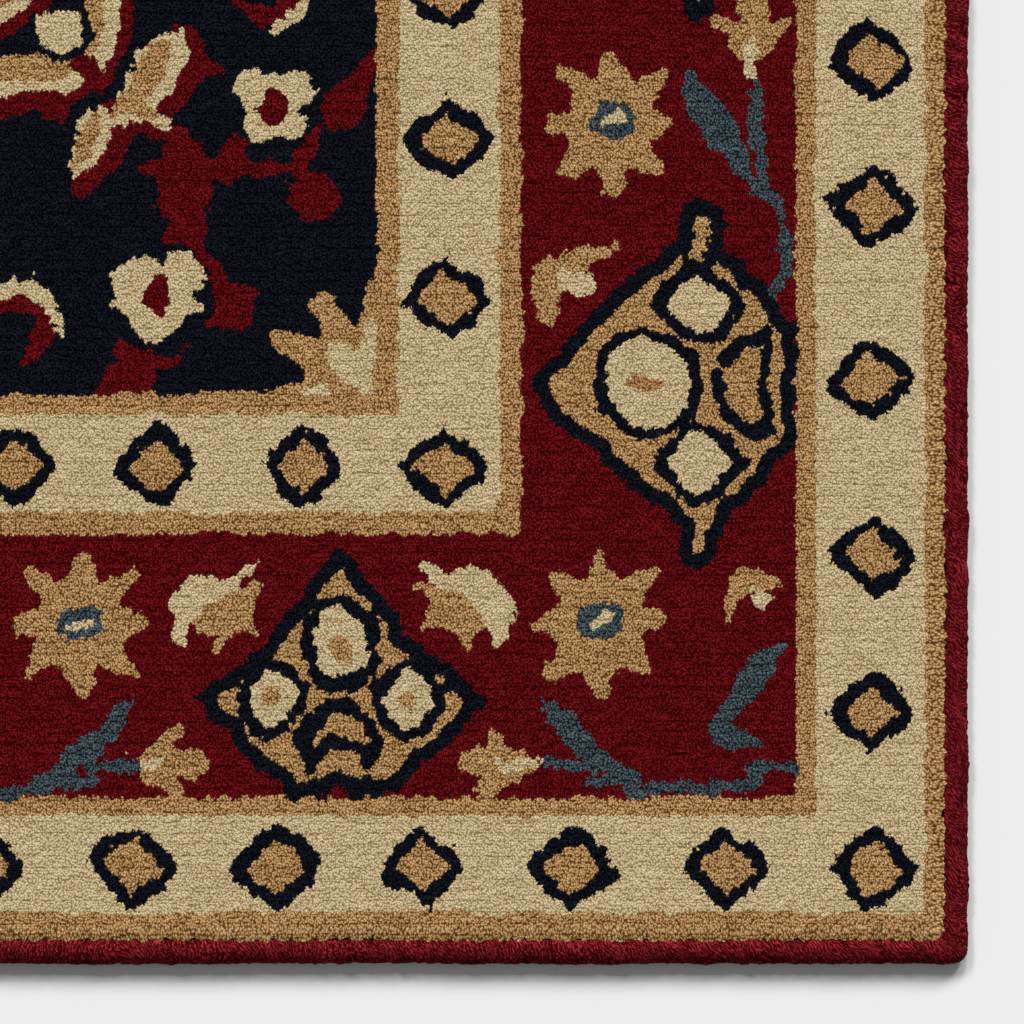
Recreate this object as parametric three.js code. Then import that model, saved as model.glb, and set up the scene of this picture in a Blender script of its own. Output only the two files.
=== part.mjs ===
// A hand-knotted wool rug, lying flat, with its edges bound in red yarn.
// The knotted body is one solid: a woven foundation with its pile standing on it.
// Four bindings close it in: one along each long side and one along each end.
// Millimetres. X runs across the width, Y along the length, Z up from the floor.
// The origin is on the floor under the middle of the rug.
import * as THREE from 'three';

// The rug
const RUG_WIDTH = 1219;
const RUG_LENGTH = 1702;
const RUG_HEIGHT = 10;
const CORNER_RADIUS = 10;
const LEAST_CORNER_RADIUS = 2;

// The shoulder where the clipped pile rounds off above the binding
const SHOULDER_RADIUS = 2.4;
const SHOULDER_STEPS = 3;

// The binding: flat where it lies against the body, rolled over on the outside
const BINDING_WIDTH = 12.2;
const BINDING_HEIGHT = 8.6;
const BINDING_INNER_HEIGHT = 8;
const BINDING_WIDEST_AT = 3.6;
const BINDING_CROWN_INSET = 6.4;
const BINDING_ROLL_STEPS = 6;
const SEAM_GAP = 0.3;

// How far the woven edges wander from a straight line, as a few slow waves
const SIDE_WAVES = [
  { amplitude: 0.45, waves: 4.3, phase: 0.6 },
  { amplitude: 0.35, waves: 11.2, phase: 2.1 },
  { amplitude: 0.25, waves: 23.7, phase: 4.0 },
];
const END_WAVES = [
  { amplitude: 0.4, waves: 3.1, phase: 1.7 },
  { amplitude: 0.35, waves: 8.4, phase: 5.2 },
  { amplitude: 0.25, waves: 17.9, phase: 0.4 },
];

// The steps along each edge, and the three that turn half of a corner
const EDGE_STEP = 17;
const HALF_CORNER = Math.PI / 4;
const CORNER_STEPS = 3;

// The edges run anticlockwise as seen from above, each a quarter turn from the last
const HALF_WIDTH = RUG_WIDTH / 2;
const HALF_LENGTH = RUG_LENGTH / 2;
const EDGES = [
  { name: 'right', out: HALF_WIDTH, half: HALF_LENGTH, waves: SIDE_WAVES },
  { name: 'far', out: HALF_LENGTH, half: HALF_WIDTH, waves: END_WAVES },
  { name: 'left', out: HALF_WIDTH, half: HALF_LENGTH, waves: SIDE_WAVES },
  { name: 'near', out: HALF_LENGTH, half: HALF_WIDTH, waves: END_WAVES },
];
EDGES.forEach((edge, i) => {
  edge.heading = (i * Math.PI) / 2;
});

// The stations of one edge: from the middle of one corner to the middle of the next.
// along goes from -1 to 1 on the straight stretch, and turn is the angle into the corner.
function stationsOf(edge) {
  const stations = [];
  for (let i = CORNER_STEPS; i > 0; i--) {
    stations.push({ along: -1, turn: (-HALF_CORNER * i) / CORNER_STEPS });
  }
  const steps = Math.round((2 * edge.half) / EDGE_STEP);
  for (let i = 0; i <= steps; i++) {
    stations.push({ along: (2 * i) / steps - 1, turn: 0 });
  }
  for (let i = 1; i <= CORNER_STEPS; i++) {
    stations.push({ along: 1, turn: (HALF_CORNER * i) / CORNER_STEPS });
  }
  return stations;
}

// How far the edge stands out of line at a station, dying away into the corners
function wander(edge, along) {
  const calm = 1 - along ** 6;
  let sum = 0;
  for (const wave of edge.waves) {
    sum += wave.amplitude * Math.sin(wave.waves * Math.PI * along + wave.phase);
  }
  return calm * sum;
}

// A point of the outline, inset from the rug's outermost line. heldBack shortens the edge.
function outlinePoint(edge, station, inset, height, heldBack = 0) {
  const radius = Math.max(CORNER_RADIUS - inset, LEAST_CORNER_RADIUS);
  const straight = edge.half - inset - radius - heldBack;
  const along = straight * station.along + radius * Math.sin(station.turn);
  const fromMiddle = edge.out - inset - radius * (1 - Math.cos(station.turn));
  const out = fromMiddle + wander(edge, station.along);
  const cos = Math.cos(edge.heading);
  const sin = Math.sin(edge.heading);
  return new THREE.Vector3(out * cos - along * sin, out * sin + along * cos, height);
}

// A closed solid through rings of points. Each ring turns anticlockwise about the way the
// rings run, and flatten lays a ring out in two dimensions so that its cap can be filled.
function loft(rings, flatten) {
  const count = rings[0].length;
  const faces = [];
  for (let r = 0; r + 1 < rings.length; r++) {
    for (let i = 0; i < count; i++) {
      const a = r * count + i;
      const b = r * count + ((i + 1) % count);
      faces.push(a, b, b + count);
      faces.push(a, b + count, a + count);
    }
  }
  const last = (rings.length - 1) * count;
  for (const [a, b, c] of THREE.ShapeUtils.triangulateShape(rings[0].map(flatten), [])) {
    faces.push(c, b, a);
  }
  for (const [a, b, c] of THREE.ShapeUtils.triangulateShape(rings.at(-1).map(flatten), [])) {
    faces.push(last + a, last + b, last + c);
  }
  const geometry = new THREE.BufferGeometry().setFromPoints(rings.flat());
  geometry.setIndex(faces);
  geometry.computeVertexNormals();
  return geometry;
}

// The knotted body: foundation and pile, straight-sided up to its rounded shoulder
function bodyGeometry() {
  const wallTop = RUG_HEIGHT - SHOULDER_RADIUS;
  const levels = [{ inset: 0, height: 0 }];
  for (let i = 0; i <= SHOULDER_STEPS; i++) {
    const angle = (i / SHOULDER_STEPS) * (Math.PI / 2);
    levels.push({
      inset: SHOULDER_RADIUS * (1 - Math.cos(angle)),
      height: wallTop + SHOULDER_RADIUS * Math.sin(angle),
    });
  }
  const bodyInset = BINDING_WIDTH + SEAM_GAP;
  const rings = levels.map(({ inset, height }) =>
    EDGES.flatMap((edge) => {
      // The last station of an edge is the first of the next
      const stations = stationsOf(edge).slice(0, -1);
      return stations.map((station) => outlinePoint(edge, station, bodyInset + inset, height));
    })
  );
  return loft(rings, (p) => new THREE.Vector2(p.x, p.y));
}

// The section of a binding: up the inner face, over the crown and round the rolled outside
function bindingSection() {
  const section = [
    { inset: BINDING_WIDTH, height: 0 },
    { inset: BINDING_WIDTH, height: BINDING_INNER_HEIGHT },
  ];
  for (let i = 0; i <= BINDING_ROLL_STEPS; i++) {
    const angle = (0.5 - i / BINDING_ROLL_STEPS) * Math.PI;
    const rise = angle > 0 ? BINDING_HEIGHT - BINDING_WIDEST_AT : BINDING_WIDEST_AT;
    section.push({
      inset: BINDING_CROWN_INSET * (1 - Math.cos(angle)),
      height: BINDING_WIDEST_AT + rise * Math.sin(angle),
    });
  }
  return section;
}

// One binding, mitred where it meets its neighbours at the corners
function bindingGeometry(edge) {
  const heldBack = SEAM_GAP / Math.SQRT2;
  const section = bindingSection();
  const rings = stationsOf(edge).map((station) =>
    section.map(({ inset, height }) => outlinePoint(edge, station, inset, height, heldBack))
  );
  const cos = Math.cos(edge.heading);
  const sin = Math.sin(edge.heading);
  return loft(rings, (p) => new THREE.Vector2(p.z, p.x * cos + p.y * sin));
}

function addMesh(group, name, geometry, color, roughness) {
  const material = new THREE.MeshStandardMaterial({ color, roughness, metalness: 0 });
  const mesh = new THREE.Mesh(geometry, material);
  mesh.name = name;
  group.add(mesh);
}

const rug = new THREE.Group();
addMesh(rug, 'rug_body', bodyGeometry(), 0x8a6a44, 0.95);
for (const edge of EDGES) {
  addMesh(rug, `binding_${edge.name}`, bindingGeometry(edge), 0x5c0f15, 0.9);
}

export default rug;
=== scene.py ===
import bmesh
import bpy
import numpy as np
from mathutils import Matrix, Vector


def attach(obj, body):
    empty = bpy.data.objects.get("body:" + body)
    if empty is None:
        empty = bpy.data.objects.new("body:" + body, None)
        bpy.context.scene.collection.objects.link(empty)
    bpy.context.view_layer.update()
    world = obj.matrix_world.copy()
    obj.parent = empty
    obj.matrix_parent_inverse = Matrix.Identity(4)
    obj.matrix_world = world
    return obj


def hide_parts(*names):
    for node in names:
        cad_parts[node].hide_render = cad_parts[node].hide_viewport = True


# A hand-knotted wool rug lying flat, with its edges bound in red yarn.
# Metres. X runs across the width, Y along the length, Z up from the floor.
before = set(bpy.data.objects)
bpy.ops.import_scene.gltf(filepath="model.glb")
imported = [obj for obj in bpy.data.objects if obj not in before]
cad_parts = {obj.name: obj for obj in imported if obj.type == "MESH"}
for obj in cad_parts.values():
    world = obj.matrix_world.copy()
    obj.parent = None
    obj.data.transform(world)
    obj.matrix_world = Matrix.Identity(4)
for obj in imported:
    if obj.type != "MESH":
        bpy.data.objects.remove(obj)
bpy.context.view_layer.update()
scene = bpy.context.scene

# The view
# The rug is seen from straight above one of its corners, through a long lens held level. A pixel
# of the square picture shows PIXEL of the rug, and the rug's corner lies so far right and down.
PIXEL = 0.0005333
PICTURE = 1024
CORNER_RIGHT, CORNER_DOWN = 967, 963
PILE_TOP = 0.010
RUG_WIDTH = 1.219
RUG_LENGTH = 1.702

lens = bpy.data.cameras.new("long_lens")
lens.lens = 135
lens.sensor_width = 36
lens.clip_end = 50
camera = bpy.data.objects.new("camera", lens)
scene.collection.objects.link(camera)
scene.camera = camera
camera.location = (
    RUG_WIDTH / 2 - (CORNER_RIGHT - PICTURE / 2) * PIXEL,
    -RUG_LENGTH / 2 + (CORNER_DOWN - PICTURE / 2) * PIXEL,
    PILE_TOP + PICTURE * PIXEL * lens.lens / lens.sensor_width,
)

# The foundation
# Cotton warps and wefts, woven with the knots. It is the flat cloth that the pile stands on, and
# its underside is the back of the rug, where each knot shows as a nub in its band's colour.
KNOT = 0.0021335
COLUMNS, ROWS = 560, 786
BODY_WIDTH = COLUMNS * KNOT
BODY_LENGTH = ROWS * KNOT
CLOTH_THICK = 0.003
CLOTH_STEPS = (56, 80)
CLOTH_INSET = 0.0006
WEFT_COTTON = (0.40, 0.34, 0.25)
BACK_STRAY = 3
NUB_DEPTH = 0.0004

# The bands, from the bound edge inwards: the yarn, and how many knots in it ends
NAVY, RED, CREAM, TAN, TEAL, HONEY = range(6)
SIDE_BANDS = (
    (TAN, 4.7), (CREAM, 32.2), (TAN, 37.2), (RED, 105.7), (TAN, 111.2), (CREAM, 136.4), (TAN, 141.9),
)
END_BANDS = (
    (TAN, 6.6), (CREAM, 30.9), (TAN, 35.4), (RED, 101.4), (TAN, 106.7), (CREAM, 131.2), (TAN, 136.4),
)
# Each yarn as a painted highlight for its lit tips, its body colour, and painted shade for the gaps
LIT, BODY, SHADED = range(3)
YARNS = {
    NAVY: ((0.0105, 0.0132, 0.0215), (0.0022, 0.0029, 0.0053), (0.0005, 0.0007, 0.0016)),
    RED: ((0.186, 0.0092, 0.0140), (0.071, 0.0007, 0.0018), (0.021, 0.0001, 0.0003)),
    CREAM: ((0.700, 0.573, 0.352), (0.486, 0.378, 0.204), (0.270, 0.184, 0.076)),
    TAN: ((0.635, 0.404, 0.192), (0.328, 0.175, 0.060), (0.088, 0.036, 0.008)),
    TEAL: ((0.100, 0.140, 0.155), (0.026, 0.038, 0.045), (0.006, 0.010, 0.015)),
    HONEY: ((0.540, 0.310, 0.140), (0.300, 0.130, 0.045), (0.120, 0.042, 0.010)),
}


class Wire:
    """A socket of a finish. Sums written with it become Math nodes."""

    def __init__(self, finish, socket):
        self.finish = finish
        self.socket = socket

    def other(self, name):
        """Another socket of the same node."""
        return Wire(self.finish, self.socket.node.outputs[name])

    def maths(self, operation, *others):
        sockets = dict(enumerate((self, *others)))
        return self.finish.add("ShaderNodeMath", {"operation": operation}, sockets)

    def __add__(self, other):
        return self.maths("ADD", other)

    __radd__ = __add__

    def __mul__(self, other):
        return self.maths("MULTIPLY", other)

    __rmul__ = __mul__

    def __sub__(self, other):
        return self.maths("SUBTRACT", other)

    def __rsub__(self, other):
        return self.finish.add("ShaderNodeMath", {"operation": "SUBTRACT"}, {0: other, 1: self})

    def __truediv__(self, other):
        return self.maths("DIVIDE", other)

    def __abs__(self):
        return self.maths("ABSOLUTE")

    def __gt__(self, other):
        return self.maths("GREATER_THAN", other)

    def __lt__(self, other):
        return self.maths("LESS_THAN", other)


class Finish:
    """A material, put together node by node."""

    def __init__(self, name):
        self.material = bpy.data.materials.new(name)
        self.material.use_nodes = True
        self.nodes = self.material.node_tree.nodes
        self.links = self.material.node_tree.links
        self.nodes.clear()

    def add(self, kind, settings=None, sockets=None, out=0):
        """A node of that kind. Its settings come first, and then its sockets' values or wires."""
        node = self.nodes.new(kind)
        for name, value in (settings or {}).items():
            if name == "stops":
                self.set_stops(node.color_ramp, value)
            elif name == "interpolation":
                node.color_ramp.interpolation = value
            else:
                setattr(node, name, value)
        for key, value in (sockets or {}).items():
            socket = node.inputs[key]
            if isinstance(value, Wire):
                self.links.new(value.socket, socket)
            else:
                socket.default_value = value
        return None if out is None else Wire(self, node.outputs[out])

    def set_stops(self, ramp, stops):
        while len(ramp.elements) < len(stops):
            ramp.elements.new(1)
        for element, (place, colour) in zip(ramp.elements, stops):
            element.position = place
            element.color = (*colour, 1)

    def blend(self, share, first, second):
        """Two colours blended."""
        settings = {"data_type": "RGBA", "blend_type": "MIX"}
        first, second = (c if isinstance(c, Wire) else (*c, 1) for c in (first, second))
        return self.add("ShaderNodeMix", settings, {0: share, 6: first, 7: second}, 2)

    def vectors(self, operation, first, second):
        return self.add("ShaderNodeVectorMath", {"operation": operation}, {0: first, 1: second})

    def scaled(self, colour, factor):
        """A colour made lighter or darker."""
        grey = self.add("ShaderNodeCombineXYZ", None, {0: factor, 1: factor, 2: factor})
        return self.vectors("MULTIPLY", colour, grey)

    def place(self):
        return self.add("ShaderNodeTexCoord", None, None, "Object")

    def stretched(self, vector, scale):
        return self.add("ShaderNodeMapping", None, {"Vector": vector, "Scale": scale})

    def parts(self, vector):
        """The parts of a vector."""
        node = self.nodes.new("ShaderNodeSeparateXYZ")
        self.links.new(vector.socket, node.inputs[0])
        return [Wire(self, output) for output in node.outputs]

    def noise(self, vector, scale, detail=2.0, roughness=0.5, out=0):
        sockets = {"Vector": vector, "Scale": scale, "Detail": detail, "Roughness": roughness}
        return self.add("ShaderNodeTexNoise", None, sockets, out)

    def between(self, value, low, high, low_out=0.0, high_out=1.0, smooth=True):
        settings = {"interpolation_type": "SMOOTHSTEP" if smooth else "LINEAR"}
        sockets = {0: value, 1: low, 2: high, 3: low_out, 4: high_out}
        return self.add("ShaderNodeMapRange", settings, sockets)

    def bump(self, height, strength, distance):
        sockets = {"Height": height, "Strength": strength, "Distance": distance}
        return self.add("ShaderNodeBump", None, sockets)

    def cloth(self, colour, roughness, normal, **fixed):
        """The shader of a piece of yarn or cloth, with its even values set on its own sockets."""
        sockets = {"Base Color": colour, "Roughness": roughness, "Normal": normal, **fixed}
        shader = self.add("ShaderNodeBsdfPrincipled", None, sockets)
        self.add("ShaderNodeOutputMaterial", None, {"Surface": shader}, None)
        return self.material


def piece(name, shape, finish):
    """A finished mesh as an object that rides with the rug."""
    mesh = bpy.data.meshes.new(name)
    shape.to_mesh(mesh)
    shape.free()
    mesh.materials.append(finish)
    made = bpy.data.objects.new(name, mesh)
    scene.collection.objects.link(made)
    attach(made, "root")
    return made


def woven_back():
    """Woven nubs in rows, in the bands' colours, with the motifs left out on the hidden side."""
    back = Finish("woven_back")
    place = back.place()
    x, y, _ = back.parts(place)
    stray = (back.noise(place, 90.0, 2.0) - 0.5) * BACK_STRAY
    from_side = (BODY_WIDTH / 2 - abs(x)) / KNOT + stray
    from_end = (BODY_LENGTH / 2 - abs(y)) / KNOT + stray
    colour = YARNS[NAVY][BODY]
    for (yarn, side), (_, end) in reversed(tuple(zip(SIDE_BANDS, END_BANDS))):
        inside = ((from_side < side) + (from_end < end)) > 0.5
        colour = back.blend(inside, colour, YARNS[yarn][BODY])
    # Each knot shows as two loops of yarn, and each row is parted from the next by a weft
    beat = (back.noise(back.stretched(place, (0.3, 1.0, 1.0)), 220.0, 2.0) - 0.5) * 5
    rows = (y * (np.pi / KNOT) + beat).maths("SINE")
    loops = (x * (2 * np.pi / KNOT) + beat * 2).maths("SINE")
    nubs = abs(rows) * (abs(loops) * 0.5 + 0.5)
    fibre = back.noise(back.stretched(place, (1.0, 0.35, 1.0)), 2600.0, 2.0)
    # Painted shade between the nubs and the rows, over the fibres' own uneven tone
    painted_light_and_tone = nubs * 0.55 + fibre * 0.5 + 0.35
    yarn_shows = back.between(abs(rows), 0.0, 0.2, 0.55, 1.0)
    colour = back.blend(yarn_shows, WEFT_COTTON, back.scaled(colour, painted_light_and_tone))
    normal = back.bump(nubs + fibre * 0.3, 0.5, NUB_DEPTH)
    return back.cloth(colour, 0.95, normal, **{"Specular IOR Level": 0.1})


weave = bmesh.new()
steps_x, steps_y = CLOTH_STEPS
bmesh.ops.create_grid(weave, x_segments=steps_x, y_segments=steps_y, size=1)
stretch = Vector((BODY_WIDTH / 2 - CLOTH_INSET, BODY_LENGTH / 2 - CLOTH_INSET, 1))
bmesh.ops.scale(weave, vec=stretch, verts=weave.verts)
bmesh.ops.solidify(weave, geom=weave.faces[:], thickness=CLOTH_THICK)
lowest = min(v.co.z for v in weave.verts)
bmesh.ops.translate(weave, vec=(0, 0, -lowest), verts=weave.verts)
bmesh.ops.recalc_face_normals(weave, faces=weave.faces)
foundation = piece("foundation", weave, woven_back())


# The knotting chart
# A hand-knotted rug is made from a chart with one square for each knot, here of a quarter of the
# rug. All sizes on it are in knots, and a knot takes the colour of the last shape over it.


def drift(rng, reach, passes):
    """Soft noise over the whole chart: how far knots stray, in knots."""
    noise = rng.standard_normal((ROWS, COLUMNS))
    for _ in range(passes):
        noise = noise + np.roll(noise, 1, 0) + np.roll(noise, -1, 0)
        noise = noise + np.roll(noise, 1, 1) + np.roll(noise, -1, 1)
    return reach * noise / noise.std()


# A knotter's line strays by a knot here and there, and slowly over a hand's width
STRAYS = ((0.40, 3), (0.40, 14), (0.38, 0))
hand = np.random.default_rng(1702)
stray_across = sum(drift(hand, reach, passes) for reach, passes in STRAYS)
stray_along = sum(drift(hand, reach, passes) for reach, passes in STRAYS)
yarn = np.full((ROWS, COLUMNS), NAVY, np.int8)
UP, SIDEWAYS = 0, np.pi / 2
LEAF_STEPS = 6
LEAF_TIP = 1.5
LEAF_BELLY = 0.7
ARC_STEPS = 8


class Patch:
    """Knots round one motif. From its middle, p counts to the right and q inwards, or both as
    they lie once the motif is turned, flipped or enlarged."""

    def __init__(self, quarter, side, end, reach, flip=1, turn=UP, size=1.0):
        inks, from_side, from_end = quarter
        rows = slice(max(int(end - reach), 0), max(int(end + reach), 0))
        columns = slice(max(int(side - reach), 0), max(int(side + reach), 0))
        self.inks = inks[rows, columns]
        p = flip * (side - from_side[rows, columns]) / size
        q = (from_end[rows, columns] - end) / size
        self.p = p * np.cos(turn) + q * np.sin(turn)
        self.q = q * np.cos(turn) - p * np.sin(turn)

    def fill(self, ink, *parts):
        for inside in parts:
            self.inks[inside] = ink

    def oval(self, p, q, width, height, power=2.0):
        """Power 1 is a diamond, 2 an ellipse, and more a rounded square."""
        return np.abs((self.p - p) / width) ** power + np.abs((self.q - q) / height) ** power < 1

    def stroke(self, *points):
        """A line that swells and narrows: each point is its place and its width there."""
        inside = np.zeros(self.p.shape, bool)
        for (p0, q0, w0), (p1, q1, w1) in zip(points, points[1:]):
            dp, dq = p1 - p0, q1 - q0
            t = ((self.p - p0) * dp + (self.q - q0) * dq) / (dp * dp + dq * dq)
            t = t.clip(0, 1)
            off = np.hypot(self.p - p0 - t * dp, self.q - q0 - t * dq)
            inside |= off < (w0 + t * (w1 - w0)) / 2
        return inside

    def arc(self, p, q, radius, start, finish, width, tips=1.5):
        """A curved leaf: a stroke round a middle, between two angles, widest halfway."""
        share = np.linspace(0, 1, ARC_STEPS + 1)
        angle = np.radians(start + share * (finish - start))
        swell = tips + (width - tips) * np.sin(np.pi * share)
        places = (p + radius * np.cos(angle), q + radius * np.sin(angle), swell)
        return self.stroke(*zip(*places))

    def leaf(self, p, q, heading, long, broad, curl=0.0):
        """A leaf about its middle, pointed at both ends and broadest a third of the way along,
        that turns by its curl from one end to the other."""
        share = np.linspace(0, 1, LEAF_STEPS + 1)
        bearing = np.radians(heading + curl * (share[1:] - 0.5))
        step = long / LEAF_STEPS
        run = np.append(0, np.cumsum(step * np.cos(bearing)))
        rise = np.append(0, np.cumsum(step * np.sin(bearing)))
        swell = LEAF_TIP + (broad - LEAF_TIP) * np.sin(np.pi * share ** LEAF_BELLY)
        return self.stroke(*zip(p + run - run.mean(), q + rise - rise.mean(), swell))

    def kite(self, q, width, up, down, power):
        """An oval that reaches further one way than the other."""
        return self.oval(0, q, width, np.where(self.q > q, up, down), power)

    def rim(self, inside, knots):
        """The outermost knots of a shape, all round it."""
        inner = inside
        for knot in range(knots):
            near = np.pad(inner, 1, mode="edge")
            inner = inner & near[2:, 1:-1] & near[:-2, 1:-1] & near[1:-1, 2:] & near[1:-1, :-2]
            if knot:
                inner = inner & near[2:, 2:] & near[2:, :-2] & near[:-2, 2:] & near[:-2, :-2]
        return inside & ~inner


def quarters():
    """The four quarters, each seen from its own corner, with (0, 0) at the corner."""
    for flip_rows in (False, True):
        for flip_columns in (False, True):
            rows = slice(None, None, -1) if flip_rows else slice(None)
            columns = slice(None) if flip_columns else slice(None, None, -1)
            half = (slice(0, ROWS // 2), slice(0, COLUMNS // 2))
            across = stray_across[rows, columns][half] * (1 if flip_columns else -1)
            along = stray_along[rows, columns][half] * (-1 if flip_rows else 1)
            from_side = np.arange(COLUMNS // 2) + 0.5 + across
            from_end = (np.arange(ROWS // 2) + 0.5)[:, None] + along
            yield yarn[rows, columns][half], from_side, from_end


# The bands go round the field. Their straight lines stray less than the motifs do.
BAND_CALM = 0.4


def lay_bands(quarter):
    inks, from_side, from_end = quarter
    side_line = np.arange(COLUMNS // 2) + 0.5
    end_line = (np.arange(ROWS // 2) + 0.5)[:, None]
    from_side = side_line + BAND_CALM * (from_side - side_line)
    from_end = end_line + BAND_CALM * (from_end - end_line)
    for (ink, side), (_, end) in reversed(tuple(zip(SIDE_BANDS, END_BANDS))):
        inks[(from_side < side) | (from_end < end)] = ink


# The guard borders: a row of tan diamonds in thick navy rings, no two alike
OUTER_GUARD = dict(
    side=18, up=(18, 57, 96, 140, 183, 219, 263, 306, 350, 393),
    end=18, over=(54, 93, 130, 167, 203, 240, 280),
)
INNER_GUARD = dict(
    side=124, up=(160, 200, 237, 276, 315, 354, 393),
    end=118, over=(125, 160, 197, 232, 280),
)


def guard_diamond(quarter, side, end):
    m = Patch(quarter, side, end, 16, turn=hand.uniform(-0.1, 0.1))
    wide, high = hand.uniform(0.95, 1.05, 2)
    m.fill(NAVY, m.oval(0, 0, 11 * wide, 10.2 * high, 1.3), m.oval(0, 0, 8, 7.5, 2.4))
    m.fill(TAN, m.oval(0, 0, 7 * wide, 6.4 * high, 1.2))
    # Each side of a diamond ends in a point that came out longer or shorter
    for quarter_turn in range(4):
        cos, sin = np.cos(quarter_turn * np.pi / 2), np.sin(quarter_turn * np.pi / 2)
        outer, inner = hand.uniform(9, 11), hand.uniform(5.5, 8)
        m.fill(NAVY, m.stroke((8 * cos, 8 * sin, 3.5), (outer * cos, outer * sin, 1.2)))
        m.fill(TAN, m.stroke((3 * cos, 3 * sin, 4.5), (inner * cos, inner * sin, 1.4)))


def guard_row(quarter, guard):
    """Diamonds up the side and over along the end."""
    for end in guard["up"]:
        guard_diamond(quarter, guard["side"], end)
    for side in guard["over"]:
        guard_diamond(quarter, side, guard["end"])


STAR_RAYS = 8


def star(quarter, side, end):
    """Eight rays: blunt ones along the rows and the warps, and pointed ones between them."""
    m = Patch(quarter, side, end, 24)
    m.fill(TAN, m.oval(0, 0, 11, 11))
    for ray in range(STAR_RAYS):
        angle = 2 * np.pi * ray / STAR_RAYS
        cos, sin = np.cos(angle), np.sin(angle)
        blunt = ray % 2 == 0
        reach = (14 + 2 * abs(sin) if blunt else 18.5) + hand.uniform(-0.8, 0.8)
        m.fill(TAN, m.stroke((6 * cos, 6 * sin, 11.5), (reach * cos, reach * sin, 4.5 if blunt else 2)))
    m.fill(TEAL, m.oval(0, 0, 6, 4.5))
    m.fill(CREAM, m.stroke((-2.4, -0.8, 2.4), (2.4, 0.8, 2.6)))


# The palmettes: a navy rim round a tan ground, with a pale heart, one more on each hand of it,
# and an arch at the foot. Both kinds point to the field.
PALMETTE_RIM = 3
SPIRE_REACH = 41
SPIRE_BEADS = 3


def end_palmette(quarter, side, end):
    m = Patch(quarter, side, end, 42)
    # A kite cut off level at the foot, with a taller pointed head over it
    ground = m.kite(0, 37, 27, 35, 1.05) & (m.q > -25) | m.oval(0, 13, 17, 24, 1.25)
    m.fill(TAN, ground)
    m.fill(NAVY, m.rim(ground, PALMETTE_RIM))
    m.fill(NAVY, m.oval(0, 13, 10, 12, 2.4))
    m.fill(CREAM, m.oval(0, 13.5, 7, 8.5, 2.6))
    m.fill(NAVY, m.oval(0, 4, 3.5, 2))
    m.fill(TAN, m.oval(0, 13, 3.5, 4, 1.5))
    for hand_side in (-1, 1):
        p = 17 * hand_side
        m.fill(NAVY, m.oval(p, 0, 9, 10, 1.7))
        m.fill(CREAM, m.oval(p, 0, 6, 7, 1.5))
        m.fill(TAN, m.oval(p, 0, 2.5, 2.5, 1.4))
    m.fill(NAVY, m.arc(0, -11, 9, -20, 200, 3.6, 3.6), m.arc(0, -19, 8, 15, 165, 3.2, 3.2))
    m.fill(NAVY, m.stroke((-10, -23, 4), (0, -20, 4), (10, -23, 4)))
    m.fill(RED, m.oval(0, -24, 4, 1.5, 1.2))


def side_palmette(quarter, side, end, size):
    """The larger kind, with a spire up and a spire down the border."""
    m = Patch(quarter, side, end, 50, turn=SIDEWAYS, size=size)
    ground = m.kite(-6, 39, 43, 34, 1.12) & (m.q > -30)
    ground = ground | m.stroke((-SPIRE_REACH, -6, 11), (SPIRE_REACH, -6, 11))
    m.fill(TAN, ground)
    m.fill(NAVY, m.rim(ground, PALMETTE_RIM))
    # One spire has a row of beads and the other keeps its plain tan core
    m.fill(NAVY, m.stroke((31, -6, 9), (SPIRE_REACH, -6, 9)))
    for bead in range(SPIRE_BEADS):
        m.fill(TAN, m.oval(SPIRE_REACH - 1 - 3.5 * bead, -6, 2, 2))
    m.fill(NAVY, m.oval(0, 7.5, 13.5, 13.5, 2.2))
    m.fill(CREAM, m.oval(0, 7.5, 11, 10, 2.2))
    m.fill(HONEY, m.oval(0, 8, 2, 4, 1.6))
    for hand_side in (-1, 1):
        m.fill(NAVY, m.oval(20 * hand_side, -6, 10.5, 12.5, 1.35))
        m.fill(CREAM, m.oval(20 * hand_side, -6, 7.5, 8.5, 1.2))
    m.fill(NAVY, m.oval(0, -23, 14, 14, 2.2) & (m.q > -24))
    m.fill(TAN, m.oval(0, -22, 10, 9.5, 2) & (m.q > -20.5))


def end_leaf(quarter, side, end, flip=1):
    """A leaf curled over like a bird's wing: a cream back, and tan fingers beneath it."""
    m = Patch(quarter, side, end, 18, flip)
    m.fill(TAN, m.oval(2, -1, 8, 6))
    for tip_p, tip_q in ((12, 6), (11, -6), (1, -12)):
        m.fill(TAN, m.stroke((2, -1, 7), (tip_p, tip_q, 2)))
    m.fill(CREAM, m.arc(2, -4, 10, 205, 70, 8, 3), m.stroke((5, 6, 5), (11, 12, 1.5)))


def lily(quarter, side, end, flip=1, turn=UP):
    """Three petals that open to the left, and a pale throat down to the stem."""
    m = Patch(quarter, side, end, 18, flip, turn)
    m.fill(TAN, m.oval(-6, 0, 4.5, 4), m.oval(1, 0, 7, 6, 1.3))
    for petal in (-1, 1):
        m.fill(TAN, m.stroke((0, 3 * petal, 5), (-3, 8 * petal, 3)))
    m.fill(CREAM, m.stroke((1, 0, 4), (6, 0, 3), (11, 0, 1.6)))


VINE_STEPS = 6
VINE_STEP, VINE_TREAD = 10.4, 11.4


def end_vine(quarter, side, end, flip=1, reach=60):
    """A teal leaf, and the vine under it, which sags evenly, one knot row after another."""
    m = Patch(quarter, side, end, reach, flip)
    m.fill(TEAL, m.leaf(0, -1, -42, 32, 6, 25))
    for step in range(VINE_STEPS):
        start = VINE_STEP * step - 12
        low = (step - (VINE_STEPS - 1) / 2) ** 2 - 12
        m.fill(TEAL, m.stroke((start, low, 3), (start + VINE_TREAD, low, 3)))


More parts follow.
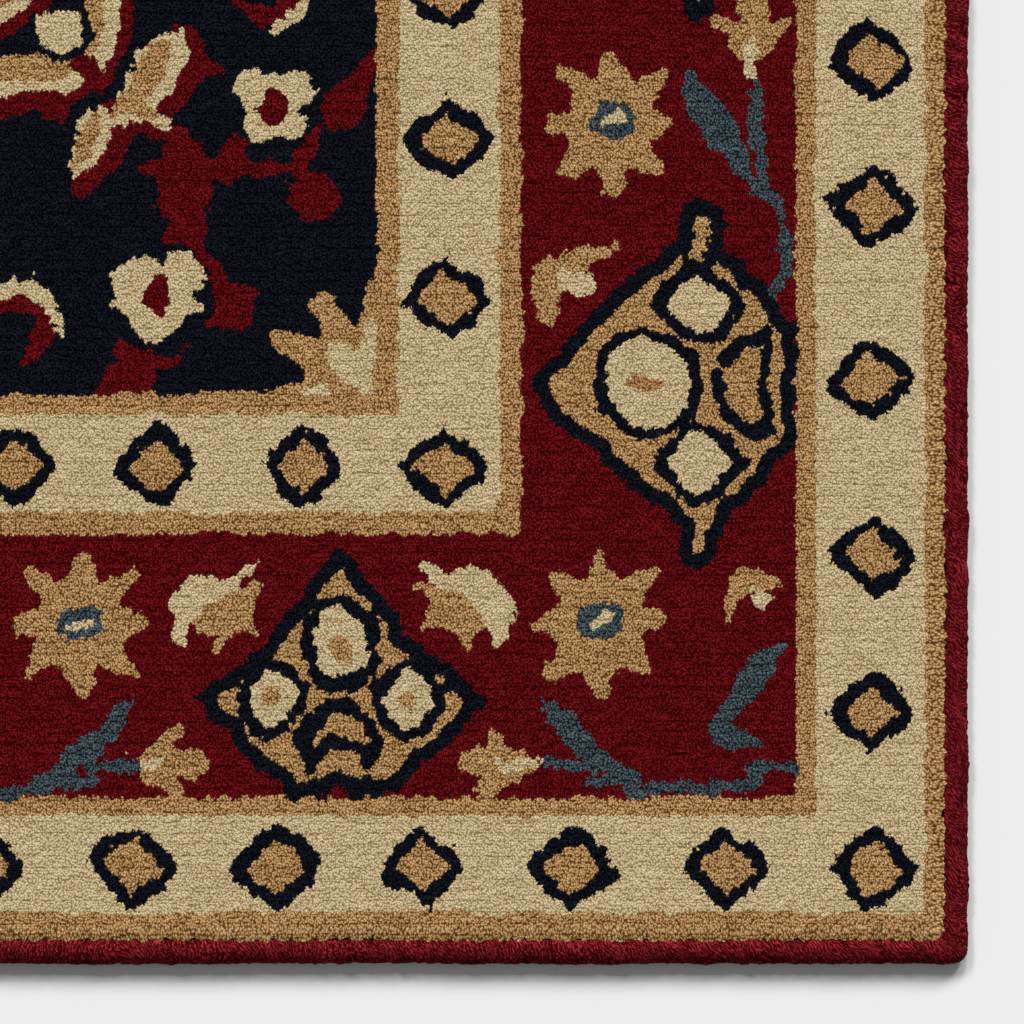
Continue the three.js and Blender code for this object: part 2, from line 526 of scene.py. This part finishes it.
def corner_leaf(quarter, side, end):
    """A pair of teal leaves that meet at an angle."""
    m = Patch(quarter, side, end, 20)
    m.fill(TEAL, m.leaf(2, 3, 232, 28, 7), m.leaf(-1, -8, -20, 15, 6))


def sprig(quarter, side, end):
    m = Patch(quarter, side, end, 14)
    m.fill(TAN, m.arc(2, -4, 8, 50, 200, 5.5), m.stroke((-3, 2, 3), (-3, 7, 1.5)))
    m.fill(CREAM, m.oval(2, -1, 3, 2.5))


def side_leaf(quarter, side, end):
    """A tan leaf curled round a pale bud, with a long tip."""
    m = Patch(quarter, side, end, 18)
    m.fill(TAN, m.oval(-1, 1, 6, 5), m.arc(3, -5, 9, 210, 85, 8, 3))
    m.fill(TAN, m.stroke((0, 4, 6), (12, 9, 1.5)))
    m.fill(CREAM, m.oval(2, -1, 5, 3.5, 2.6))


SWING_STEPS = 6


def side_vine(quarter, side, end):
    """A broad teal leaf, and the vine that climbs beside it and swings out over the border."""
    m = Patch(quarter, side, end, 46)
    m.fill(TEAL, m.leaf(0, -2, -60, 34, 9), m.leaf(10, -4, -87, 30, 4))
    share = np.linspace(0, 1, SWING_STEPS + 1)
    swing = (11 + 6 * np.sin(np.pi * share * 0.9), -16 - 26 * share, 2 + 1.5 * share)
    m.fill(TEAL, m.stroke(*zip(*swing)))


END_STARS, END_PALMETTES = (86, 216), (151, 280)
SIDE_STARS, SIDE_PALMETTES = (204, 330), ((139, 1.0), (269, 0.85), (393, 1.0))
FLIP = -1


def main_border(quarter):
    for side in END_STARS:
        star(quarter, side, 79)
    for end in SIDE_STARS:
        star(quarter, 83, end)
    # Along the end, leaves and lilies pair about each palmette
    for side in END_PALMETTES:
        end_leaf(quarter, side + 32, 83)
        lily(quarter, side + 44, 44, FLIP)
        end_palmette(quarter, side, 60)
        if side < COLUMNS / 2:
            end_leaf(quarter, side - 32, 83, FLIP)
            lily(quarter, side - 40, 44)
    end_vine(quarter, 88, 49)
    end_vine(quarter, 215, 49, FLIP, 28)
    corner_leaf(quarter, 52, 59)
    sprig(quarter, 48, 86)
    for end, size in SIDE_PALMETTES:
        side_palmette(quarter, 67, end, size)
        side_leaf(quarter, 94, end + 26)
    for end in SIDE_STARS:
        side_vine(quarter, 56, end)
        lily(quarter, 48, end + 22, turn=-SIDEWAYS)


# The field: red stems and pale flowers about the great flower, on navy
def blossom(quarter, side, end):
    """Four round petals, with a red heart and a notch at the top."""
    m = Patch(quarter, side, end, 16)
    m.fill(NAVY, m.oval(0, 1, 12, 12))
    m.fill(CREAM, m.oval(0, 0, 7, 8))
    for petal in (-1, 1):
        m.fill(CREAM, m.oval(5 * petal, 5, 4.5, 4.5), m.oval(3.5 * petal, -4, 4.5, 4.5))
        m.fill(CREAM, m.stroke((6 * petal, 3, 3), (10 * petal, 4, 1.5)))
    m.fill(NAVY, m.stroke((0, 11, 4), (0, 8, 2)))
    m.fill(RED, m.oval(0, 0, 4, 4.5, 1.4))


def heart_blossom(quarter, side, end):
    """Two broad petals over a narrower foot, with a red heart."""
    m = Patch(quarter, side, end, 16)
    m.fill(NAVY, m.oval(0, 0, 14, 14))
    m.fill(CREAM, m.oval(0, 0, 9.5, 8), m.oval(0, -5, 6.5, 6))
    for petal in (-1, 1):
        m.fill(CREAM, m.oval(5.5 * petal, 5, 6, 6), m.stroke((8 * petal, -1, 3), (11 * petal, -2, 1.6)))
    m.fill(NAVY, m.stroke((0, 11, 3.5), (0, 8, 1.6)))
    m.fill(RED, m.oval(0, 1, 3.5, 5, 1.3))


def calyx(quarter, side, end):
    """A red cup under a flower, on a leaning stem."""
    m = Patch(quarter, side, end, 18)
    m.fill(RED, m.stroke((-1, 0, 8), (-6, 9, 2.5)), m.stroke((1, 0, 8), (13, 5, 2.5)))
    m.fill(RED, m.stroke((0, 0, 10), (-5, -8, 13)))


def branch(quarter, side, end):
    """A forked red stem, with a bud at the end of its arm and another at its foot."""
    m = Patch(quarter, side, end, 44)
    m.fill(RED, m.leaf(0, -2, -90, 38, 12), m.leaf(-1, -10, 90, 18, 11))
    # Thorns, and the arm with its bud
    m.fill(RED, m.leaf(-5, 8, 180, 12, 6), m.leaf(12, 12, 80, 16, 6), m.leaf(31, 13, 65, 14, 5))
    m.fill(RED, m.stroke((2, 8, 5), (28, 8, 3)), m.stroke((28, 8, 4), (32, 1, 6)), m.oval(32, 1, 6.5, 6))
    m.fill(RED, m.stroke((2, -14, 4), (10, -22, 5)), m.oval(11, -26.5, 7.5, 7))


def flame_leaf(quarter, side, end):
    m = Patch(quarter, side, end, 14)
    m.fill(RED, m.oval(-2, -4, 6, 5), m.stroke((-2, -3, 9), (4, 5, 5), (8, 12, 1.5)))


def sickle_leaf(quarter, side, end, turn=UP):
    """A curved leaf, cream on its outer edge and red along the inner one."""
    m = Patch(quarter, side, end, 20, turn=turn)
    m.fill(RED, m.arc(-5, -8, 9, 150, -10, 4.5, 2.5), m.stroke((3, -7, 4), (-2, -15, 2)))
    m.fill(CREAM, m.arc(-5, -9, 13, 140, 10, 4, 2))


def long_leaf(quarter, side, end):
    """A long leaf with a lobe halfway: tan along one edge, then cream, and red round the other."""
    m = Patch(quarter, side, end, 32)
    m.fill(RED, m.leaf(14, 10, -10, 22, 14))
    for ink, grow, over in ((NAVY, 2, -1.5), (RED, 5, 2), (CREAM, 0, 0), (TAN, -5, -1)):
        m.fill(ink, m.leaf(6 + over, 4 - over, 232, 30 + grow, 12 + grow))
        m.fill(ink, m.leaf(-8 + over, -11 - over, 245, 20 + grow, 10 + grow))
        m.fill(ink, m.leaf(6 + over, -3 - over, -30, 16 + grow, 6 + grow / 2))


def rosette(quarter, side, end):
    """The great flower: an eight-sided heart, four pale buds and a broad scalloped rim."""
    m = Patch(quarter, side, end, 40)
    m.fill(RED, m.oval(0, 0, 36, 35, 3.2), m.oval(18, -30, 8, 7), m.oval(-18, -30, 8, 7))
    for ink, width, height in ((CREAM, 32, 30), (TAN, 28, 27), (NAVY, 24, 21)):
        m.fill(ink, m.oval(0, 0, width, height, 3.4))
    for a in (-1, 1):
        for b in (-1, 1):
            m.fill(RED, m.stroke((23 * a, 22 * b, 5), (29 * a, 28 * b, 7)))
            m.fill(NAVY, m.oval(17 * a, 14 * b, 7.5, 7, 2.4))
            m.fill(CREAM, m.oval(17 * a, 14 * b, 5, 5, 2.6))
    for ink, width, height in ((RED, 18, 17), (CREAM, 14, 12), (TAN, 10, 8)):
        m.fill(ink, m.oval(0, 0, width, height, 1.5))


def corner_piece(quarter, side, end):
    """The tan ornament with its pale heart that fills the corner of the field, the same on both
    sides of the diagonal."""
    m = Patch(quarter, side, end, 38, turn=np.pi / 4)
    for hand_side in (-1, 1):
        m.fill(TAN, m.stroke((0, 6, 14), (9 * hand_side, 9, 14), (22 * hand_side, 20, 3)))
        m.fill(TAN, m.stroke((0, 12, 14), (6 * hand_side, 21, 6), (7 * hand_side, 26, 6)))
        m.fill(CREAM, m.stroke((0, 6, 6), (7 * hand_side, 10, 5.5), (12 * hand_side, 13, 3)))
    m.fill(CREAM, m.stroke((0, 3, 5), (0, 13, 7)))


def field(quarter):
    corner_piece(quarter, 142, 136)
    rosette(quarter, 238, 241)
    long_leaf(quarter, 206, 210)
    calyx(quarter, 201, 144)
    branch(quarter, 190, 185)
    blossom(quarter, 168, 208)
    heart_blossom(quarter, 197, 160)
    flame_leaf(quarter, 148, 212)
    sickle_leaf(quarter, 228, 159)
    sickle_leaf(quarter, 163, 236, turn=-1.35)


for quarter in quarters():
    field(quarter)
    lay_bands(quarter)
    guard_row(quarter, OUTER_GUARD)
    guard_row(quarter, INNER_GUARD)
    main_border(quarter)


# The pile
# Wool yarn knotted round the warps, row by row, and clipped level, so each knot shows as a tuft
# with a gap round it, where painted shade darkens the colour. No two tufts are cut or lean alike, and the
# edge ones fall outwards.
STRIPS = 6
STRIP_ROWS = ROWS // STRIPS
OUTLINE_PASSES = 2
OUTLINE_EASE = 0.38
TUFT_STRAY, MOST_STRAY = 0.19, 0.42
TUFT_WIDE = 0.00110
TUFT_DEEP = 0.00156
TUFT_SPREAD = 0.0022
FALLING = 0.007
FALL_ACROSS, FALL_ALONG = 0.4, 0.3
WEFT_PITCH = 0.0060
PILE_BUMP, PILE_DEPTH = 0.42, 0.0009
INK_SPAN = 8
TUFT_RISE = 0.00007
PILE_CORNER = 0.007
PILE_LEVEL = 0.00985
EDGE_DROPS = ((1, 0.0008), (2, 0.0002))
EDGE_LEAN = (-0.0007, 0.0017)
TUCKED_IN = 0.0004
BAKE_FOLDS, BAKE_MARGIN = 2, 2


def wool_pile():
    pile = Finish("wool_pile")
    place = pile.place()
    # Each knot's two ends stand as tufts in the row, and lean and spread as they please. Those
    # near the edges fall outwards, and show their length.
    x, y, _ = pile.parts(place)
    past_x = (abs(x) - (BODY_WIDTH / 2 - FALLING)).maths("MAXIMUM", 0) * x.maths("SIGN")
    past_y = (abs(y) - (BODY_LENGTH / 2 - FALLING)).maths("MAXIMUM", 0) * y.maths("SIGN")
    standing = {0: x - past_x * FALL_ACROSS, 1: y - past_y * FALL_ALONG}
    standing = pile.add("ShaderNodeCombineXYZ", None, standing)
    spread = pile.noise(standing, 360.0, 2.0, 0.6, "Color")
    spread = pile.vectors("SUBTRACT", spread, (0.5, 0.5, 0.5))
    spread = pile.vectors("MULTIPLY", spread, (TUFT_SPREAD, TUFT_SPREAD, 0))
    spread = pile.vectors("ADD", standing, spread)
    spread = pile.stretched(spread, (1 / TUFT_WIDE, 1 / TUFT_DEEP, 1))
    settings = {"voronoi_dimensions": "2D", "feature": "F1"}
    cells = pile.add("ShaderNodeTexVoronoi", settings, {"Vector": spread, "Scale": 1.0, "Randomness": 0.85})
    tone = pile.parts(cells.other("Color"))[0]
    fibre = pile.noise(place, 2500.0, 2.0, 0.6)
    tuft = 1 - pile.between(cells + (fibre - 0.5) * 0.5, 0.08, 0.68, smooth=False)
    # A tuft is all of one yarn, so one that leans over into the next knot keeps its own colour
    middle = pile.vectors("SUBTRACT", cells.other("Position"), spread)
    middle_x, middle_y, _ = pile.parts(middle)
    u, v, _ = pile.parts(pile.add("ShaderNodeUVMap", {"uv_map": "knot"}))
    u = u + middle_x * (TUFT_WIDE / KNOT)
    v = v + middle_y * (TUFT_DEEP / KNOT)
    ink = pile.add("ShaderNodeAttribute", {"attribute_name": "ink"}, None, "Fac")
    beside = pile.add("ShaderNodeAttribute", {"attribute_name": "beside"}, None, "Vector")
    left, right, below = pile.parts(beside)
    above = pile.add("ShaderNodeAttribute", {"attribute_name": "above"}, None, "Fac")
    for over, next_ink in ((u < 0, left), (u > 1, right), (v < 0, below), (v > 1, above)):
        ink = ink + over * (next_ink - ink)
    # Every third row or so a weft lies deeper and parts the rows
    drifting = pile.noise(pile.stretched(place, (0.35, 1.0, 1.0)), 120.0, 2.0)
    weft = abs((y * (np.pi / WEFT_PITCH) + drifting * 2.2).maths("SINE"))
    broken = pile.noise(pile.stretched(place, (0.4, 1.0, 1.0)), 260.0, 1.0)
    groove = (1 - pile.between(weft, 0.0, 0.42)) * pile.between(broken, 0.35, 0.6)
    # Painted light and dye: each tuft has a painted highlight over its top and painted shade in the gaps
    # round it and in the deeper weft grooves, and the dye takes unevenly by the tuft and in streaks along
    # the rows
    streaks = pile.noise(pile.stretched(place, (0.45, 1.0, 0.2)), 300.0, 2.0)
    painted_light_and_tone = tuft * 1.6 + (tone - 0.5) * 0.5 - (streaks - 0.5) * 0.9 + (fibre - 0.5) * 0.8 - groove * 0.45
    ramps = []
    for level in (LIT, BODY, SHADED):
        stops = [(max(0, (number - 0.5) / INK_SPAN), YARNS[number][level]) for number in YARNS]
        settings = {"stops": stops, "interpolation": "CONSTANT"}
        ramps.append(pile.add("ShaderNodeValToRGB", settings, {"Fac": ink / INK_SPAN}))
    lit, body, painted_shade = ramps
    # Painted shade, the yarn's body and its painted highlight, mixed by that painted light and dye
    colour = pile.blend(pile.between(painted_light_and_tone, -0.05, 0.72, smooth=False), painted_shade, body)
    colour = pile.blend(pile.between(painted_light_and_tone, 0.72, 1.6, smooth=False), colour, lit)
    height = tuft + fibre * 0.35 + tone * 0.3 - groove * 0.5
    normal = pile.bump(height, PILE_BUMP, PILE_DEPTH)
    return pile.cloth(colour, 0.95, normal, **{"Specular IOR Level": 0.03})


# Where each corner between four knots lies. The last ring on every side hangs down to the cloth.
grid_x = (np.arange(-1, COLUMNS + 2) - COLUMNS / 2) * KNOT + np.zeros((ROWS + 3, 1))
grid_y = (np.arange(-1, ROWS + 2)[:, None] - ROWS / 2) * KNOT + np.zeros((1, COLUMNS + 3))
shuffle = np.random.default_rng(44)
# Where two colours meet, the tufts spread to a smooth line instead of steps
inks = np.pad(yarn, 1, mode="edge")
to_right = np.zeros(grid_x.shape, bool)
to_right[1:-1, :-1] = inks[:-1] != inks[1:]
upward = np.zeros(grid_x.shape, bool)
upward[:-1, 1:-1] = inks[:, :-1] != inks[:, 1:]
to_left = np.roll(to_right, 1, 1)
downward = np.roll(upward, 1, 0)
passing = to_right.astype(int) + to_left + upward + downward == 2
for _ in range(OUTLINE_PASSES):
    for grid in (grid_x, grid_y):
        middle = to_right * np.roll(grid, -1, 1) + to_left * np.roll(grid, 1, 1)
        middle = (middle + upward * np.roll(grid, -1, 0) + downward * np.roll(grid, 1, 0)) / 2
        grid[passing] += OUTLINE_EASE * (middle - grid)[passing]
for grid in (grid_x, grid_y):
    grid += shuffle.normal(0, TUFT_STRAY, grid.shape).clip(-MOST_STRAY, MOST_STRAY) * KNOT
grid_z = PILE_LEVEL + shuffle.normal(0, TUFT_RISE, grid_x.shape)
ring = np.minimum.reduce(np.broadcast_arrays(
    np.arange(COLUMNS + 3), np.arange(COLUMNS + 3)[::-1],
    np.arange(ROWS + 3)[:, None], np.arange(ROWS + 3)[::-1, None],
))
# The outermost tufts round over and lean out, some further than others
lean = shuffle.uniform(*EDGE_LEAN, grid_x.shape)
for number, drop in EDGE_DROPS:
    grid_z[ring == number] -= drop
for grid, size in ((grid_x, BODY_WIDTH), (grid_y, BODY_LENGTH)):
    outer = (ring == 1) & (size / 2 - np.abs(grid) < 2 * KNOT)
    grid[outer] += (np.sign(grid) * lean)[outer]
# The pile turns its corners in a small round, so the tufts there are drawn in
past_x = np.abs(grid_x) - (BODY_WIDTH / 2 - PILE_CORNER)
past_y = np.abs(grid_y) - (BODY_LENGTH / 2 - PILE_CORNER)
turning = (past_x > 0) & (past_y > 0)
pulled = (1 - np.maximum(past_x, past_y) / np.hypot(past_x, past_y)) * turning
grid_x -= np.sign(grid_x) * past_x * pulled
grid_y -= np.sign(grid_y) * past_y * pulled
skirt = ring == 0
for grid, size in ((grid_x, BODY_WIDTH), (grid_y, BODY_LENGTH)):
    grid[skirt] = grid[skirt].clip(TUCKED_IN - size / 2, size / 2 - TUCKED_IN)
grid_z[skirt] = CLOTH_THICK - TUCKED_IN

wool = wool_pile()
round_inks = np.pad(inks, 1, mode="edge").astype(np.float32)
pile_pieces = []
for number in range(STRIPS):
    first = number * STRIP_ROWS + (1 if number else 0)
    last = (number + 1) * STRIP_ROWS + (1 if number < STRIPS - 1 else 2)
    tall = last - first
    wide = COLUMNS + 2
    tufts = bmesh.new()
    bmesh.ops.create_grid(tufts, x_segments=wide, y_segments=tall, size=1)
    strip = piece(f"pile_{number + 1}", tufts, wool)
    mesh = strip.data
    rows = slice(first, last + 1)
    places = np.stack((grid_x[rows], grid_y[rows], grid_z[rows]), -1)
    mesh.vertices.foreach_set("co", places.astype(np.float32).ravel())
    corners = np.empty(len(mesh.loops), np.int32)
    mesh.loops.foreach_get("vertex_index", corners)
    corner_column = (corners % (wide + 1)).reshape(-1, 4)
    corner_row = (corners // (wide + 1)).reshape(-1, 4)
    column = corner_column.min(1, keepdims=True)
    row = corner_row.min(1, keepdims=True)
    # Two halves of the strip lie one above the other on the bake's square
    half = wide // BAKE_FOLDS
    fold = column // half
    bake_column = corner_column - fold * half + BAKE_MARGIN
    bake_row = corner_row + fold * (tall + BAKE_MARGIN) + BAKE_MARGIN
    bake_side = max(BAKE_FOLDS * tall + 3 * BAKE_MARGIN, half + 2 * BAKE_MARGIN)
    bake = np.stack((bake_column, bake_row), -1) / bake_side
    own = np.stack((corner_column - column, corner_row - row), -1)
    for title, values in (("OFBake", bake), ("knot", own)):
        layer = mesh.uv_layers.new(name=title)
        layer.uv.foreach_set("vector", values.astype(np.float32).ravel())
    # Each face knows its own yarn, and the yarns of the four knots round it
    spot_row = first + row[:, 0]
    spot_column = column[:, 0]
    own_ink, left, right, below, above = (
        round_inks[spot_row + 1 + rise, spot_column + 1 + step]
        for rise, step in ((0, 0), (0, -1), (0, 1), (-1, 0), (1, 0))
    )
    for title, kind, field, values in (
        ("ink", "FLOAT", "value", own_ink),
        ("beside", "FLOAT_VECTOR", "vector", np.stack((left, right, below), -1)),
        ("above", "FLOAT", "value", above),
    ):
        layer = mesh.attributes.new(title, kind, "FACE")
        layer.data.foreach_set(field, values.ravel())
    mesh.update()
    pile_pieces.append(strip)
for made in (foundation, *pile_pieces):
    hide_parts("rug_body")


# The bindings
# Red yarn wrapped over the edge cords, along both long sides and both ends. It lies in close turns
# that pull the cords into a soft roll, and it stands a little below the pile.
BINDING_WIDTH = 0.0122
CROWN_IN = 0.0064
CROWN_HEIGHT = 0.0094
INNER_HEIGHT = 0.0090
PUFFED_OUT = 0.0013
WIDEST_AT = 0.0036
OUTER_FOOT, INNER_FOOT = 0.0002, 0.0004
TURN_PITCH = 0.0016
STRAND_PITCH = 0.0024
STRAND_DEPTH = 0.0009
ROLL_STEPS = 6
CORNER_STEPS = 7
CORNER_RADIUS = 0.0075
INNER_CORNER = 0.0062
CORNER_LAP = 0.0002
SHORT_WAVE, LONG_WAVE = (0.00016, 3), (0.00018, 9)
TURN_STRAY = 0.00016
YARN_STRAY = 0.00012
CALM_TURNS = 12
CROWN_SWELL = 0.25
ROLL_FOLDS, FOLD_MARGIN = 8, 2
GIRTH_MARGIN, FOLD_GAP = 0.002, 0.003
# The binding's red as a painted highlight, its body colour, and painted shade
YARN_RED = ((0.270, 0.0210, 0.0300), (0.082, 0.0012, 0.0028), (0.024, 0.0002, 0.0005))


def overcast_yarn():
    """Yarn in close turns across the edge, with fibres that stand off it."""
    red = Finish("overcast_yarn")
    place = red.place()
    along, over, _ = red.parts(red.add("ShaderNodeUVMap", {"uv_map": "turns"}))
    # The turns lie close and lean one way for a few centimetres, and then another
    lean = (red.noise(place, 40.0, 1.0) - 0.5) * 1.5 + 0.1
    laid = red.add("ShaderNodeCombineXYZ", None, {0: along + over * lean, 1: over})
    strand = red.noise(red.stretched(laid, (1.0, 0.34, 1.0)), 1350.0, 1.0, 0.7)
    fibre = red.noise(red.stretched(laid, (1.0, 0.55, 1.0)), 2200.0, 1.0, 0.7)
    patch = red.noise(red.stretched(laid, (1.0, 0.5, 1.0)), 150.0, 1.0)
    # Each turn has a faint painted highlight over its back and painted shade in the gap to the next one
    uneven = red.noise(place, 180.0, 2.0) * 9
    turn = (red.parts(laid)[0] * (2 * np.pi / STRAND_PITCH) + uneven).maths("SINE")
    level = strand * 2.3 + fibre * 1.5 + patch * 0.7 + turn * 0.12 - 2.29
    lit, body, painted_shade = YARN_RED
    # The strands' heights mix painted shade, the red's body and a painted highlight
    colour = red.blend(red.between(level, -0.32, 0.02, smooth=False), painted_shade, body)
    colour = red.blend(red.between(level, 0.02, 0.34, smooth=False), colour, lit)
    normal = red.bump(level, 0.5, STRAND_DEPTH)
    return red.cloth(colour, 0.9, normal, **{"Specular IOR Level": 0.04})


section = [(BINDING_WIDTH, INNER_FOOT), (BINDING_WIDTH, INNER_HEIGHT)]
for step in range(ROLL_STEPS + 1):
    angle = (0.5 - step / ROLL_STEPS) * np.pi
    rise = CROWN_HEIGHT - WIDEST_AT if angle > 0 else WIDEST_AT - OUTER_FOOT
    section.append((CROWN_IN * (1 - np.cos(angle)), WIDEST_AT + rise * np.sin(angle)))
section_in = np.array([p[0] for p in section])
section_up = np.array([p[1] for p in section])
section_in = section_in - PUFFED_OUT * (1 - section_in / BINDING_WIDTH)
overcast = overcast_yarn()


def smooth_noise(rng, count, reach, width):
    raw = rng.standard_normal(count + 4 * width)
    window = np.hanning(2 * width + 1)
    soft = np.convolve(raw, window / window.sum(), "same")[2 * width:2 * width + count]
    return reach * soft / soft.std()


def bound_edge(side, heading, out, half, seed):
    """One binding, from the middle of one corner to the middle of the next."""
    rng = np.random.default_rng(seed)
    turns = int(2 * half / TURN_PITCH)
    corner = np.ones(CORNER_STEPS)
    along = np.concatenate([-corner, np.linspace(-1, 1, turns), corner])
    turned = np.linspace(0, 1, CORNER_STEPS + 1)[1:]
    bend = np.pi / 4 * np.concatenate([-turned[::-1], np.zeros(turns), turned])
    count = len(along)
    scallop = smooth_noise(rng, count, *SHORT_WAVE) + smooth_noise(rng, count, *LONG_WAVE)
    wrap = rng.normal(0, TURN_STRAY, count)
    calm = np.minimum(1, np.minimum(np.arange(count), np.arange(count)[::-1]) / CALM_TURNS)
    swell = (scallop + wrap) * calm
    # The roll swells most on its outside, and its flat inner face not at all
    outwardness = np.clip(1 - section_in / BINDING_WIDTH, 0, 1) ** 0.5
    outwardness[:2] = 0
    inset = section_in[None, :] - outwardness * swell[:, None]
    up = section_up + (section_up > WIDEST_AT * 1.2) * rng.normal(0, TURN_STRAY, (count, len(section)))
    up = up + CROWN_SWELL * (section_up > INNER_HEIGHT) * swell[:, None]
    inset = inset + rng.normal(0, YARN_STRAY, (count, len(section))) * (section_in < BINDING_WIDTH)
    radius = np.maximum(CORNER_RADIUS - inset, INNER_CORNER)
    straight = half - inset - radius + CORNER_LAP
    run = straight * along[:, None] + radius * np.sin(bend)[:, None]
    reach = out - inset - radius * (1 - np.cos(bend))[:, None]
    cos, sin = np.cos(heading), np.sin(heading)
    x = reach * cos - run * sin
    y = reach * sin + run * cos
    roll = bmesh.new()
    bmesh.ops.create_grid(roll, x_segments=len(section), y_segments=count - 1, size=1)
    roll.verts.ensure_lookup_table()
    wide = len(section) + 1
    order = np.concatenate([np.arange(len(section)), [0]])
    places = np.stack((x, y, up), -1)[:, order].reshape(-1, 3)
    for vertex, place in zip(roll.verts, places.tolist()):
        vertex.co = place
    # How far along the edge and over the roll each point lies
    girth = np.cumsum(np.hypot(np.diff(section_in[order]), np.diff(section_up[order])))
    girth = np.concatenate([[0], girth])
    length = np.linspace(-half, half, count)
    made_turns = roll.loops.layers.uv.new("turns")
    made_bake = roll.loops.layers.uv.new("OFBake")
    # On the bake's square the roll is cut into lengths that lie side by side
    per_fold = -(-(count - 1) // ROLL_FOLDS)
    scale = 1 / ((per_fold + 2 * FOLD_MARGIN) * TURN_PITCH)
    for face in roll.faces:
        rows = [loop.vert.index // wide for loop in face.loops]
        fold = min(rows) // per_fold
        for loop, row in zip(face.loops, rows):
            step = loop.vert.index % wide
            loop[made_turns].uv = (length[row], girth[step])
            loop[made_bake].uv = (
                (row - fold * per_fold + FOLD_MARGIN) * TURN_PITCH * scale,
                (girth[step] + GIRTH_MARGIN + fold * (girth[-1] + FOLD_GAP)) * scale,
            )
    bmesh.ops.remove_doubles(roll, verts=roll.verts, dist=1e-7)
    bmesh.ops.holes_fill(roll, edges=[e for e in roll.edges if e.is_boundary])
    bmesh.ops.recalc_face_normals(roll, faces=roll.faces)
    bound = piece(f"overcast_{side}", roll, overcast)
    for face in bound.data.polygons:
        face.use_smooth = len(face.vertices) < 5
    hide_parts(f"binding_{side}")
    return bound


bindings = [
    bound_edge("right", 0, RUG_WIDTH / 2, RUG_LENGTH / 2, 11),
    bound_edge("far", np.pi / 2, RUG_LENGTH / 2, RUG_WIDTH / 2, 12),
    bound_edge("left", np.pi, RUG_WIDTH / 2, RUG_LENGTH / 2, 13),
    bound_edge("near", -np.pi / 2, RUG_LENGTH / 2, RUG_WIDTH / 2, 14),
]


# The floor and the light
# A plain pale floor, with three soft lamps side by side beyond the far end of the rug, and a
# little light from all round. A lamp is given by its bearing and its height in degrees.
FLOOR_REACH = 30
FLOOR_LOOK = {"Base Color": (0.80, 0.80, 0.80, 1), "Roughness": 1, "Specular IOR Level": 0}
LAMPS = ((-28, 34), (2, 29), (26, 25))
LAMP_STRENGTH = 1.83
LAMP_SPREAD = 13
ROOM_LIGHT = 0.20

floor_shape = bmesh.new()
bmesh.ops.create_grid(floor_shape, x_segments=1, y_segments=1, size=FLOOR_REACH)
floor_mesh = bpy.data.meshes.new("floor")
floor_shape.to_mesh(floor_mesh)
floor_shape.free()
pale = bpy.data.materials.new("pale_floor")
pale.use_nodes = True
for socket, value in FLOOR_LOOK.items():
    pale.node_tree.nodes["Principled BSDF"].inputs[socket].default_value = value
floor_mesh.materials.append(pale)
floor = bpy.data.objects.new("floor", floor_mesh)
scene.collection.objects.link(floor)

for number, (bearing, height) in enumerate(LAMPS):
    glow = bpy.data.lights.new(f"lamp_{number + 1}", "SUN")
    glow.angle = np.radians(LAMP_SPREAD)
    glow.energy = LAMP_STRENGTH
    lamp = bpy.data.objects.new(f"lamp_{number + 1}", glow)
    scene.collection.objects.link(lamp)
    turn = np.radians(bearing)
    towards = Vector((np.sin(turn), np.cos(turn), np.tan(np.radians(height))))
    lamp.rotation_euler = towards.to_track_quat("Z", "Y").to_euler()
world = bpy.data.worlds.new("soft_room")
world.use_nodes = True
world.node_tree.nodes["Background"].inputs["Color"].default_value = (1, 1, 1, 1)
world.node_tree.nodes["Background"].inputs["Strength"].default_value = ROOM_LIGHT
scene.world = world
scene.view_settings.view_transform = "Standard"
